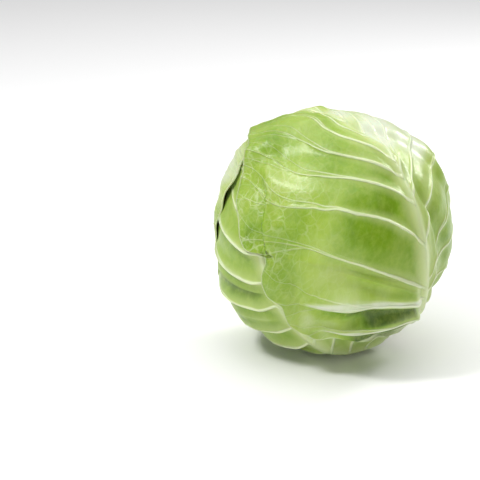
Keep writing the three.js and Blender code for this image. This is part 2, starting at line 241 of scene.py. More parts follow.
leaves = [dressLeaf(**values) for values in (
    dict(name="leaf_7_inner_back", turn=6, roll=-4, seed=7, veins=0.9, rows=5, columns=60),
    dict(name="leaf_6_inner_front", turn=5, roll=6, seed=6, veins=0.9, rows=5, columns=60),
    dict(name="leaf_5_underside", turn=4, roll=-6, seed=5, veins=0.9, rows=7, columns=90, gap=1.3),
    dict(name="leaf_4_right", turn=3, roll=0, seed=4, veins=1.1, rows=7, columns=90),
    dict(name="leaf_3_left", turn=2, roll=4, seed=3, veins=1.9, rows=13, columns=150, sway=6.0,
         lobes=[(40, 20, 4)], folds=[(-66, 1, 2.2, 12), (-85, 1, 2.4, 10)], veinTable=leftVeins,
         pleats=[(4, -1, 2.6, 9, 1.5, 2.0, 0.6), (5, -1, 2.2, 10, 1.5, 2.5, 0.5),
                 (5.4, -1, 1.6, 5, 1.4, 1.5, 0.3), (6, -1, 3.2, 10, 1.6, 3.0, 0.6),
                 (6.6, -1, 1.4, 6, 1.5, 1.5, 0.4), (7, -1, 2.2, 8, 1.6, 2.0, 0.6),
                 (8, -1, 2.0, 10, 1.6, 1.5, 0.5)]),
    dict(name="leaf_2_back", turn=1, roll=-3, seed=2, veins=1.9, rows=11, columns=140, lift=-0.9,
         # two pale spots: a whitish sheen there, partly wax and partly painted reflection
         spots=[(40, 96, 30, -1.7), (60, 60, 20, -1.0)]),
    dict(name="leaf_1_front", turn=0, roll=5, seed=1, veins=1.9, rows=16, columns=190, sway=18.0,
         lobes=[(-68, 15, 9), (-106, 6, -17), (-30, 13, -6), (-187, 14, 8), (-161, 12, -10),
                (-56, 3.5, 2.0), (-64, 3.0, -3.0), (-73, 3.5, 2.5), (-82, 3.0, -2.5), (-90, 3.0, 2.0)],
         folds=[(-85, -1, 5.0, 13), (-99, -1, 4.5, 10)],
         pleats=[(3, -1, 7.5, 20, 8.0, 0.0, 0.52), (2, -1, 7.5, 13, 6.0, 0.0, 0.6)],
         ribShift=(6, 19), veinTable=frontVeins, lift=0.7, shade=1.5,
         crease=((-119, 34), (-88, 84), 4.2),
         bumps=[(16, 97, 13, 3.4), (-56, -64, 9, -3.0), (-74, -58, 9, 2.2), (-96, 42, 11, 1.6),
                (-84, 66, 9, 1.4), (62, 2, 12, 2.4), (-66, -88, 7, 2.0), (-50, -98, 6, -2.0)],
         # the spots hold deeper and paler tone, and also painted shade on the left flap (-118, 6) and at the
         # lower right (50, -60), painted light at the lower left, and a whitish painted reflection over the
         # top and the right
         spots=[(-34, -16, 36, 0.9), (-30, 14, 22, 0.5), (-58, 92, 16, 1.1), (-42, 56, 19, 0.6),
                (-128, 58, 12, 1.0), (-58, -84, 9, 1.3), (-58, -2, 14, 0.5), (-106, -42, 12, -0.7),
                (-104, 36, 16, 0.6), (-118, 6, 20, 0.8), (-88, 0, 22, -0.5), (-66, -44, 34, -1.05),
                (-78, -72, 24, -1.0), (-6, -92, 12, -1.4), (8, 74, 15, -1.7), (14, 38, 16, -2.2),
                (48, 46, 28, -2.2), (38, 8, 16, -1.0), (-66, 66, 20, -0.5), (18, 98, 11, 1.2),
                (-30, 112, 10, 0.8), (66, 20, 22, -1.2), (50, -60, 30, 0.9)]),
)]


def swayAt(leaf, y):
    # the midrib's sideways bend: a sine along the leaf, turned to start at the stalk
    stalkRun = chart["radius"] * math.radians(chart["leafAngle"])
    start, length = midrib["bend"]
    bend = leaf["sway"] * np.sin(math.pi * (y + start) / length)
    bendBelow = leaf["sway"] * math.sin(math.pi * (start - stalkRun) / length)
    stalkX = stalkRun * math.sin(math.radians(leaf["roll"]))
    middleShift, tipShift = leaf["ribShift"]
    shift = middleShift * smooth(y, *midrib["middleShift"]) + tipShift * smooth(y, *midrib["tipShift"])
    return bend + (stalkX - bendBelow) * smooth(-y, midrib["stalkBend"], stalkRun) + shift


def chartToWay(leaf, x, y):
    # direction of a chart point: its distance from the chart's middle is an arc's length on the sphere
    chartX = x + swayAt(leaf, y)
    run = np.hypot(chartX, y)
    arc = run / chart["radius"]
    share = np.sin(arc) / np.maximum(run, 1e-9)
    return (np.cos(arc)[..., None] * leaf["centre"] + (chartX * share)[..., None] * leaf["across"]
            + (y * share)[..., None] * leaf["tip"])


def wayToChart(leaf, ways):  # the same arc, read the other way
    arc = np.arccos(np.clip(ways @ leaf["centre"], -1, 1))
    across = ways @ leaf["across"]
    along = ways @ leaf["tip"]
    share = arc * chart["radius"] / np.maximum(np.hypot(across, along), 1e-9)
    y = along * share
    return across * share, across * share - swayAt(leaf, y), y


def outlineReach(leaf, angle):  # a circle with waves and lobes
    reach = np.full_like(angle, chart["outline"])
    for count, phase, share in leaf["waves"]:
        reach += chart["ruffle"] * share * np.sin(count * angle + phase)
    for at, spread, by in leaf["lobes"]:
        off = np.degrees(angle) - at
        reach += by * bell(off - 360 * np.round(off / 360), spread)
    return reach


def insideBy(leaf, chartX, y):  # distance inside the outline, along the line from the chart's middle
    return outlineReach(leaf, np.arctan2(chartX, -y)) - np.hypot(chartX, y)


def fanS(x, y):  # which of the solids' side veins passes a point, as its start on the midrib
    return (y - chart["fanRise"] * abs(x) - chart["fanCurl"] * x * x) / (1 + abs(x) / chart["fanReach"])


def alongLeaf(y):  # 0 at the stalk, 1 at the tip
    return np.clip((y + chart["outline"]) / (2 * chart["outline"]), 0, 1)


def ribHalfWidth(y):  # narrows evenly to the tip
    return mix(midrib["halfWidth"], midrib["tipHalfWidth"], alongLeaf(y))


def ribHeight(y):  # lowers with the square root of the way to the tip
    return mix(midrib["height"], midrib["tipHeight"], np.sqrt(alongLeaf(y)))


def pressedShare(ways):  # 1 over the spot that the head rests on
    off = np.degrees(np.arccos(np.clip(-ways[..., 2], -1, 1)))
    return 1 - smooth(off, headShape["pressedSpot"], headShape["pressedSpot"] + headShape["pressFade"])


def pleatRoom(leaf, x, y):  # room that the leaves above leave for a leaf's pleats
    s = fanS(x, y)
    room = np.zeros_like(s)
    for at, side, height, above in leaf["folds"]:
        near = bell(np.maximum(0, abs(s - at) - above), pleatForm["roomFade"])
        room = np.maximum(room, height * near * smooth(x * side, *pleatForm["roomSide"]))
    return room


def pleatFade(outward, reach, onSide):  # along a pleat: in near the midrib, out past its reach, on one side
    pastReach = smooth(outward, reach, reach + pleatForm["fade"])
    return smooth(outward, *pleatForm["start"]) * (1 - pastReach) * onSide


def pleatShape(leaf, q, outward, spacing, side):
    # overlapping pleats: each rises slowly from above to a crest on a vein and drops steeply below it.
    # Gives the height and how far the crest hangs over its foot
    height = np.zeros_like(q)
    lean = np.zeros_like(q)
    drop = pleatForm["drop"]
    for row, pleatSide, high, above, below, hang, reach in leaf["pleats"]:
        off = (q - row) * spacing
        gentle, steep = smooth(off, pleatForm["crest"], above), smooth(-off, drop, drop + below)
        shape = (1 - np.where(off >= 0, gentle, steep)) * (1 - smooth(abs(q - row), *pleatForm["rowReach"]))
        fade = pleatFade(outward, reach, side == pleatSide)
        height = np.maximum(height, high * shape * fade)
        lean = np.maximum(lean, hang * shape * fade)
    return height, lean


def pleatShadeAndHighlight(leaf, q, outward, spacing, side):
    # painted shade and painted highlight of the pleats: 1 in the hollow below a pleat's crest, from half-way
    # down its steep side, where the colour is painted darker as shade, and nearly -1 along the crest, where
    # it is painted paler as a highlight
    share = np.zeros_like(q)
    near, far = pleatForm["hollowShadeEdge"]
    for row, pleatSide, _, _, below, _, reach in leaf["pleats"]:
        off = (row - q) * spacing - pleatForm["drop"]
        hollowShade = smooth(off, -0.5, 0.5 * below) * (1 - smooth(off, below + near, below + far))
        # painted highlight along the crest
        crest = pleatForm["crestHighlight"] * bell(off + pleatForm["crestShift"], pleatForm["crestWidth"])
        share += pleatFade(outward, reach, side == pleatSide) * (hollowShade - crest)
    return share


def nearCrease(leaf, x, y):
    # distance to the right of the blade's fold line, how far a point counts along it, and the fold's depth
    (x0, y0), (x1, y1), depth = leaf["crease"]
    length = math.hypot(x1 - x0, y1 - y0)
    along = ((x - x0) * (x1 - x0) + (y - y0) * (y1 - y0)) / length ** 2
    off = ((x - x0) * (y1 - y0) - (y - y0) * (x1 - x0)) / length
    off = off + creaseForm["sway"] * np.sin(along * creaseForm["swayCount"])
    return off, smooth(along, *creaseForm["start"]) * (1 - smooth(along, *creaseForm["end"])), depth


def creaseStep(leaf, x, y):
    # beyond the fold line the blade is tucked lower, most near the line, and the inner lip is a little raised
    if leaf["crease"] is None:
        return np.zeros_like(x)
    off, fade, depth = nearCrease(leaf, x, y)
    tucked = mix(creaseForm["tuckRest"], 1, smooth(off, *creaseForm["tuckReach"]))
    tucked = (1 - smooth(off, *creaseForm["edge"])) * tucked
    rise, place, width = creaseForm["lip"]
    return fade * depth * (rise * bell(off - place, width) - tucked)


def creaseShade(leaf, x, y):  # painted shade in the slit of the fold: 1 in the slit
    if leaf["crease"] is None:
        return np.zeros_like(x)
    off, fade, _ = nearCrease(leaf, x, y)
    place, width = creaseForm["slit"]
    return fade * bell(off + place, width)


def bumpHeight(leaf, x, y):  # round rises and dips of the blade
    total = np.zeros_like(x)
    for atX, atY, spread, height in leaf["bumps"]:
        total = total + height * bell(np.hypot(x - atX, y - atY), spread)
    return total


def toneAndPaintedLight(leaf, x, y):  # soft round spots, partly the leaf's own tone and partly painted light and shade: 0.5 is plain, more is deeper green and less is paler
    value = np.full_like(x, 0.5)
    for atX, atY, spread, by in leaf["spots"]:
        value += 0.5 * by * bell(np.hypot(x - atX, y - atY), spread)
    return value


def layerHeight(leaf, ways):
    # how far a leaf raises what lies over it: blade, gap and relief, sloping off past its outline
    chartX, x, y = wayToChart(leaf, ways)
    slopeEnd = -stack["slopeStart"]
    share = smooth(insideBy(leaf, chartX, y), slopeEnd - stack["slopeReach"], slopeEnd)
    ribPart = ribHeight(y) * bell(np.maximum(0, abs(x) - ribHalfWidth(y)), stack["ribWidening"])
    veinPart = leaf["veins"] * (1 - smooth(fanS(x, y), *sideVein["solidEnd"]))
    relief = np.maximum(ribPart, veinPart) + pleatRoom(leaf, x, y)
    return share * (stack["blade"] + leaf["gap"] + stack["ease"] + relief * (1 - pressedShare(ways)))


def heartSurface(ways):
    # radius of the heart: round, with bulges, and flattened over the ground under the leaves
    radius = np.full(ways.shape[:-1], headShape["heartRadius"])
    for way, height, spread in bulges:
        radius += height * bell(degreesFrom(ways, way), spread)
    depth, spread = headShape["stalkDimple"]
    radius -= depth * bell(degreesFrom(ways, stalkWay), spread)
    down = np.maximum(-ways[..., 2], 0.1)
    layers = sum(layerHeight(leaf, ways) for leaf in leaves) + stack["heartGap"]
    plane = (headShape["centreHeight"] + headShape["press"]) / down - layers
    share = np.clip(0.5 + 0.5 * (plane - radius) / headShape["pressBlend"], 0, 1)
    limited = mix(plane, radius, share) - headShape["pressBlend"] * share * (1 - share)
    return np.where(down < headShape["groundFrom"], radius, limited)


def bedSurface(leaf, under, ways):
    # height of a leaf's underside: the heart and every layer below, as a soft highest of five near places
    stray = stack["bedReach"] / chart["radius"]
    over = unit(np.cross(ways, leaf["tip"]))
    up = np.cross(ways, over)
    sums = 0
    for across, along in ((0, 0), (1, 0), (-1, 0), (0, 1), (0, -1)):
        near = unit(ways + over * (across * stray) + up * (along * stray))
        height = heartSurface(near) + sum(layerHeight(lower, near) for lower in under)
        sums = sums + np.exp((height - stack["bedMiddle"]) * stack["bedSharpness"])
    rest = stack["heartGap"] + leaf["gap"] + stack["ease"] + stack["bedMiddle"]
    return rest + np.log(sums / 5) / stack["bedSharpness"]


def coveredShare(overLeaves, ways, low=-36, high=-14):  # 1 where one of the leaves outside lies on it
    share = np.zeros(ways.shape[:-1])
    for over in overLeaves:
        chartX, _, y = wayToChart(over, ways)
        share = np.maximum(share, smooth(insideBy(over, chartX, y), low, high))
    return share


def marginLift(leaf, chartX, y, inside):  # the margin waves outwards, a sum of sines, but not near the stalk
    angle = np.arctan2(chartX, -y)
    times = margin["waveCount"]
    wave = sum(share * np.sin(count * times * angle + phase) for count, phase, share in leaf["waves"])
    rise = leaf["lift"] * chart["ruffle"] * (margin["rise"] + margin["wave"] * wave)
    return rise * (1 - smooth(inside, 0, margin["reach"])) * smooth(abs(angle), *margin["quiet"])


def tipReach(leaf):  # where the midrib meets the outline, by halving
    low, high = 60.0, 150.0
    for _ in range(30):
        y = np.array(0.5 * (low + high))
        low, high = (float(y), high) if insideBy(leaf, swayAt(leaf, y), y) > 0 else (low, float(y))
    return low


def rowTable(leaf, side):
    # the base row, the side veins and the tip row of one side, each as start, end angle, leaving and
    # arriving angle
    base, tip = chart["base"], tipReach(leaf)
    baseEnd = math.degrees(math.atan2(float(swayAt(leaf, base)) + side * chart["baseWidth"] / 2, -base))
    tipEnd = math.degrees(math.atan2(float(swayAt(leaf, tip)), -tip))
    if side < 0 and tipEnd > 0:
        tipEnd -= 360
    if side > 0 and tipEnd < 0:
        tipEnd += 360
    veins = leaf["veinTable"][:, (0, 1, 2, 3) if side < 0 else (0, 4, 5, 6)]
    return np.vstack([[base, baseEnd, 90, 90], veins, [tip, tipEnd - side * 2, 90, 90]])


def sidePoints(leaf, q, u, side):
    # each row is a Bezier curve from the midrib (u = 0) to the outline (u = 1), and a row between two
    # veins takes values between theirs
    table = rowTable(leaf, side)
    index = np.clip(np.floor(q).astype(int), 0, len(table) - 2)
    part = (q - index)[..., None]
    start, end, leave, arrive = np.moveaxis(mix(table[index], table[index + 1], part), -1, 0)
    end, leave, arrive = np.radians(end), np.radians(leave), np.radians(arrive)
    reach = outlineReach(leaf, end)
    endY = -reach * np.cos(end)
    endX = reach * np.sin(end) - swayAt(leaf, endY)
    hold = chart["hold"] * np.hypot(endX, endY - start)
    x1, y1 = side * hold * np.sin(leave), start + hold * np.cos(leave)
    x2, y2 = endX - side * hold * np.sin(arrive), endY - hold * np.cos(arrive)
    w1, w2, w3 = 3 * u * (1 - u) ** 2, 3 * u * u * (1 - u), u ** 3
    x = w1 * x1 + w2 * x2 + w3 * endX
    return x, (1 - u) ** 3 * start + w1 * y1 + w2 * y2 + w3 * endY


def leafGrid(leaf):
    # rows follow the side veins and are closer at each vein, columns run along the leaf and are closer
    # at the midrib. Returns x, y, the row q, how far outward u, and the millimetres from row to row
    last = len(leaf["veinTable"]) + 1
    step = np.arange(leaf["rows"]) / leaf["rows"]
    step = step - gridSteps["veinPull"] * np.sin(2 * math.pi * step)
    q = np.concatenate([k + step for k in range(last)] + [[last]])
    half = leaf["columns"] // 2
    u = np.concatenate([[0], (np.arange(1, half + 1) / half) ** gridSteps["ribPull"]])
    qSide, uSide = np.meshgrid(q, u, indexing="ij")
    leftX, leftY = sidePoints(leaf, qSide, uSide, -1)
    rightX, rightY = sidePoints(leaf, qSide, uSide, 1)
    x = np.concatenate([leftX[:, :0:-1], rightX], axis=1)
    y = np.concatenate([leftY[:, :0:-1], rightY], axis=1)
    qGrid = np.concatenate([qSide[:, :0:-1], qSide], axis=1)
    outward = np.concatenate([-uSide[:, :0:-1], uSide], axis=1)
    chartX = x + swayAt(leaf, y)
    alongX, alongY = np.gradient(chartX, axis=1), np.gradient(y, axis=1)
    acrossX, acrossY = np.gradient(chartX, axis=0), np.gradient(y, axis=0)
    stepLength = np.abs(alongX * acrossY - alongY * acrossX) / np.maximum(np.hypot(alongX, alongY), 1e-6)
    spacing = stepLength / np.maximum(np.gradient(qGrid, axis=0), 1e-6)
    return x, y, qGrid, outward, spacing


def closedSheet(outer, inner):
    # one closed body from two grids of points: the outer face, the inner face turned round, and the rim
    rows, columns, _ = outer.shape
    index = np.arange(rows * columns).reshape(rows, columns)
    a, b = index[:-1, :-1].ravel(), index[:-1, 1:].ravel()
    c, d = index[1:, 1:].ravel(), index[1:, :-1].ravel()
    shift = rows * columns
    rim = np.concatenate([index[0, :-1], index[:-1, -1], index[-1, :0:-1], index[:0:-1, 0]])
    after = np.roll(rim, -1)
    faces = np.concatenate([
        np.stack([a, b, c, d], axis=1),
        np.stack([a, d, c, b], axis=1) + shift,
        np.stack([after, rim, rim + shift, after + shift], axis=1),
    ])
    return np.concatenate([outer.reshape(-1, 3), inner.reshape(-1, 3)]), faces


def makeMesh(name, points, faces, attributes, material):
    # points in millimetres round the head's centre, put on the ground in metres
    places = (points + np.array([0, 0, headShape["centreHeight"]])) / 1000
    mesh = bpy.data.meshes.new(name)
    mesh.from_pydata(places, [], [list(face) for face in faces])
    mesh.polygons.foreach_set("use_smooth", np.ones(len(faces), bool))
    for title, values in attributes.items():
        kind = "FLOAT_VECTOR" if values.ndim == 2 else "FLOAT"
        layer = mesh.attributes.new(title, kind, "POINT")
        layer.data.foreach_set("vector" if values.ndim == 2 else "value", values.ravel().astype(np.float32))
    mesh.materials.append(material)
    mesh.validate()
    piece = bpy.data.objects.new(name, mesh)
    bpy.context.scene.collection.objects.link(piece)
    return piece


def flatOnGround(points):  # the small spot the head rests on: nothing goes below the ground
    points[..., 2] = np.maximum(points[..., 2], -headShape["centreHeight"])
    return points


def leafSurfaces(leaf, under, over):
    # outer and inner face of a blade: the bed below, pleats, waved margin, then the blade's thickness
    # with the midrib, the side veins and the puffed panels between them
    x, y, q, outward, spacing = leafGrid(leaf)
    side = np.where(outward < 0, -1, 1)
    out = abs(outward)
    height, lean = pleatShape(leaf, q, out, spacing, side)
    shown = 1 - coveredShare(over, chartToWay(leaf, x, y), -2, 8)
    height, lean = height * shown, lean * shown
    upX, upY = np.gradient(x, axis=0), np.gradient(y, axis=0)
    upLength = np.maximum(np.hypot(upX, upY), 1e-6)
    ways = chartToWay(leaf, x - lean * upX / upLength, y - lean * upY / upLength)
    chartX = x + swayAt(leaf, y)
    inside = np.maximum(0, insideBy(leaf, chartX, y))
    free = 1 - pressedShare(ways)
    wave = marginLift(leaf, chartX, y, inside)
    if leaf["lift"] > 0:
        wave = wave * (1 - coveredShare(over, ways))
    shape = height + wave + creaseStep(leaf, x, y) + bumpHeight(leaf, x, y)
    underside = bedSurface(leaf, under, ways) + shape * free
    away = np.abs(q - np.round(q)) * spacing
    vein = (np.round(q) > 0) & (np.round(q) < q.max())
    strength = vein * smooth(abs(x), *sideVein["start"]) * (1 - smooth(q, q.max() - 3, q.max() - 0.5))
    strength = strength * (1 - sideVein["thinning"] * out)
    fine = sideVein["height"] * bell(away, mix(sideVein["halfWidth"], sideVein["tipHalfWidth"], out))
    swell = sideVein["swell"] * bell(away, sideVein["swellWidth"])
    puff = sideVein["puff"] * np.sin(math.pi * q) ** 2 * smooth(abs(x), *sideVein["puffStart"])
    ribPart = ribHeight(y) * bell(x, ribHalfWidth(y) * midrib["foot"])
    relief = np.maximum(ribPart, (fine + swell) * strength) + puff * smooth(inside, 0, sideVein["puffMargin"])
    blade = mix(stack["margin"], stack["blade"], smooth(inside, 0, stack["marginReach"]))
    outer = ways * (underside + blade + relief * free)[..., None]
    inner = ways * underside[..., None]
    veinPlace = np.stack([q, outward, spacing], axis=-1)
    leafPlace = np.stack([x, y, np.full_like(x, leaf["seed"] * 7.0)], axis=-1)
    onRib = bell(x, ribHalfWidth(y) * midrib["paleWidth"]) * (1 - midrib["paleFade"] * alongLeaf(y))
    # deepness for the colour: the spots, painted shade in the pleats' hollows with a painted highlight along
    # their crests, and painted shade in the crease's slit
    deepGreenAndShade = toneAndPaintedLight(leaf, x, y) + leaf["shade"] * pleatShadeAndHighlight(leaf, q, out, spacing, side)
    deepGreenAndShade = deepGreenAndShade + creaseForm["slitShade"] * creaseShade(leaf, x, y)
    leafFacts = np.stack([inside, onRib, deepGreenAndShade], axis=-1)
    facts = {"veinPlace": veinPlace, "leafPlace": leafPlace, "leafFacts": leafFacts}
    return flatOnGround(outer), flatOnGround(inner), facts


# Materials. Nodes are placed by short helpers, and what several materials share is a node group


class Nodes:
    # adds nodes to one tree: add gives the node itself, the others give its result
    def __init__(self, tree):
        self.tree = tree
        self.count = 0

    def add(self, kind, settings=None, **inputs):  # an input goes by its name, or by i and its number
        node = self.tree.nodes.new("ShaderNode" + kind)
        node.location = (200 * (self.count % 8), -220 * (self.count // 8))
        self.count += 1
        for title, value in (settings or {}).items():
            setattr(node, title, value)
        for title, value in inputs.items():
            numbered = title[0] == "i" and title[1:].isdigit()
            self.put(node.inputs[int(title[1:]) if numbered else title], value)
        return node

    def put(self, socket, value):
        if isinstance(value, bpy.types.NodeSocket):
            self.tree.links.new(value, socket)
        else:
            socket.default_value = value

    def calc(self, operation, *values, clamp=False):
        inputs = {"i%d" % k: value for k, value in enumerate(values)}
        return self.add("Math", {"operation": operation, "use_clamp": clamp}, **inputs).outputs[0]

    def plus(self, a, b):
        return self.calc("ADD", a, b)

    def minus(self, a, b):
        return self.calc("SUBTRACT", a, b)

    def times(self, a, b, clamp=False):
        return self.calc("MULTIPLY", a, b, clamp=clamp)

    def ease(self, value, low, high, start=0.0, end=1.0):  # a smooth step between two values
        node = self.add("MapRange", {"interpolation_type": "SMOOTHSTEP"})
        for index, entry in enumerate((value, low, high, start, end)):
            self.put(node.inputs[index], entry)
        return node.outputs[0]

    def fall(self, value, low, high):  # 1 up to low, 0 from high
        return self.minus(1.0, self.ease(value, low, high))

    def blend(self, share, first, second):  # each colour is three numbers or a socket
        node = self.add("Mix", {"data_type": "RGBA", "clamp_factor": True}, i0=share)
        for index, entry in ((6, first), (7, second)):
            self.put(node.inputs[index], (*entry, 1) if isinstance(entry, tuple) else entry)
        return node.outputs[2]

    def noise(self, place, scale, detail=2.0, roughness=0.5):
        node = self.add("TexNoise", {"noise_dimensions": "3D"}, Vector=place, Scale=scale, Detail=detail)
        node.inputs["Roughness"].default_value = roughness
        return node.outputs[0]

    def patches(self, place, noise, *steps):  # noise (scale, detail, roughness) through a smooth step
        return self.ease(self.noise(place, *noise), *steps)

    def scaled(self, vector, by):
        return self.add("VectorMath", {"operation": "SCALE"}, i0=vector, Scale=by).outputs[0]

    def bump(self, height, strength, distance):
        return self.add("Bump", None, Strength=strength, Distance=distance, Height=height).outputs[0]

    def attribute(self, title):  # a mesh attribute, whole and as its three parts
        node = self.add("Attribute", {"attribute_type": "GEOMETRY", "attribute_name": title})
        whole = node.outputs["Vector"]
        return whole, self.add("SeparateXYZ", None, Vector=whole).outputs[:3]


def newMaterial(name):
    material = bpy.data.materials.new(name)
    material.use_nodes = True
    return material, material.node_tree.nodes["Principled BSDF"], Nodes(material.node_tree)


def newGroup(name, inputs, outputs):
    # an empty group with named sockets, and its two ends
    group = bpy.data.node_groups.new(name, "ShaderNodeTree")
    for direction, sockets in (("INPUT", inputs), ("OUTPUT", outputs)):
        for title, kind in sockets.items():
            group.interface.new_socket(title, in_out=direction, socket_type="NodeSocket" + kind)
    return group, group.nodes.new("NodeGroupInput"), group.nodes.new("NodeGroupOutput")


veinLines = {  # a pair is at the midrib and at the margin
    "width": (0.95, 0.32),
    "edge": (0.5, 1.7),  # where a line starts to fade and where it ends, in widths
    "halo": (9.0, 2.5),
    "haloReach": 0.7,
    "forks": ((0.38, 0.52), (0.62, -0.46)),  # about where one leaves its vein, and how far it turns away
    "forkStray": 0.12,
    "forkEnd": 1.1,
    "forkWidth": (0.5, 0.25),
    "forkEdge": (0.5, 2.0),
    "forkStart": 0.04,
    "forkStrength": 0.75,
    "height": (0.5, 0.28),
}
netLines = {
    "bendNoise": 0.16,
    "bend": 5.0,
    "layers": ((1.0, 0.1, 1.0), (0.45, 0.12, 0.35)),  # size of a cell, width of its line, strength
}
waxSpots = {  # noise (scale, detail, roughness), then a smooth step's ends and values
    "patches": ((0.035, 3.0, 0.55), 0.38, 0.68),
    "speckle": ((0.9, 3.0, 0.6), 0.3, 0.8, 0.55, 1.0),
}


def makeSideVeins(look):
    # Side veins and their forks from the vein rows: Row is whole on a vein, Outward runs from 0 on the
    # midrib to 1 at the margin, Step is the millimetres from one vein to the next
    inputs = dict.fromkeys(("Row", "Outward", "Step", "Leaf", "Wobble"), "Float")
    group, start, end = newGroup("sideVeins", inputs, dict.fromkeys(("Vein", "Halo", "Height"), "Float"))
    n = Nodes(group)
    given = start.outputs
    row = n.plus(given["Row"], given["Wobble"])
    whole = n.calc("ROUND", row)
    part = n.minus(row, whole)
    outward = n.calc("ABSOLUTE", given["Outward"])
    side = n.calc("SIGN", given["Outward"])
    width = n.ease(outward, 0.0, 1.0, *look["width"])
    away = n.times(n.calc("ABSOLUTE", part), given["Step"])
    ridge = n.fall(away, *[n.times(width, share) for share in look["edge"]])
    halo = n.fall(away, 0.5, n.ease(outward, 0.0, look["haloReach"], *look["halo"]))
    for fork, reach in look["forks"]:
        seed = n.plus(n.times(whole, 3.7), n.times(side, 1.3 + fork))
        draw = n.add("TexWhiteNoise", {"noise_dimensions": "1D"}, W=n.plus(seed, given["Leaf"])).outputs[0]
        begins = n.plus(fork - look["forkStray"], n.times(draw, 2 * look["forkStray"]))
        turned = n.add("MapRange", None, i0=outward, i1=begins, i2=look["forkEnd"], i3=0.0, i4=reach)
        forkAway = n.times(n.calc("ABSOLUTE", n.minus(part, turned.outputs[0])), given["Step"])
        forkWidth = n.ease(outward, fork, 1.0, *look["forkWidth"])
        forkLine = n.fall(forkAway, *[n.times(forkWidth, share) for share in look["forkEdge"]])
        started = n.ease(outward, begins, n.plus(begins, look["forkStart"]), 0.0, look["forkStrength"])
        ridge = n.calc("MAXIMUM", ridge, n.times(forkLine, started))
    n.put(end.inputs["Vein"], ridge)
    n.put(end.inputs["Halo"], halo)
    n.put(end.inputs["Height"], n.times(ridge, n.ease(outward, 0.1, 1.0, *look["height"])))
    return group


def makeFineNet(look):
    # the pale net between the veins: edges of uneven cells, wider cells of thicker lines over smaller ones
    group, start, end = newGroup("fineNet", {"Place": "Vector", "Cell": "Float"}, {"Net": "Float"})
    n = Nodes(group)
    bend = n.add("TexNoise", None, Vector=start.outputs["Place"], Scale=look["bendNoise"], Detail=2.0)
    shift = n.scaled(bend.outputs[1], look["bend"])
    place = n.add("VectorMath", {"operation": "ADD"}, i0=start.outputs["Place"], i1=shift).outputs[0]
    kind = {"feature": "DISTANCE_TO_EDGE", "voronoi_dimensions": "3D"}
    net = None
    for share, width, strength in look["layers"]:
        size = n.calc("DIVIDE", 1.0, n.times(start.outputs["Cell"], share))
        cells = n.add("TexVoronoi", kind, Vector=place, Scale=size)
        line = n.times(n.fall(cells.outputs["Distance"], 0.0, width), strength)
        net = line if net is None else n.calc("MAXIMUM", net, line)
    n.put(end.inputs["Net"], net)
    return group


def makeWaxBloom(look):
    # the thin whitish wax: soft patches with fine speckle
    group, start, end = newGroup("waxBloom", {"Place": "Vector", "Amount": "Float"}, {"Bloom": "Float"})
    n = Nodes(group)
    place = start.outputs["Place"]
    spots = n.times(n.patches(place, *look["patches"]), n.patches(place, *look["speckle"]))
    n.put(end.inputs["Bloom"], n.times(spots, start.outputs["Amount"], clamp=True))
    return group


groups = {
    "sideVeins": makeSideVeins(veinLines),
    "fineNet": makeFineNet(netLines),
    "waxBloom": makeWaxBloom(waxSpots),
}


def useGroup(n, name, **inputs):
    node = n.add("Group", {"node_tree": groups[name]})
    for title, value in inputs.items():
        n.put(node.inputs[title], value)
    return node.outputs


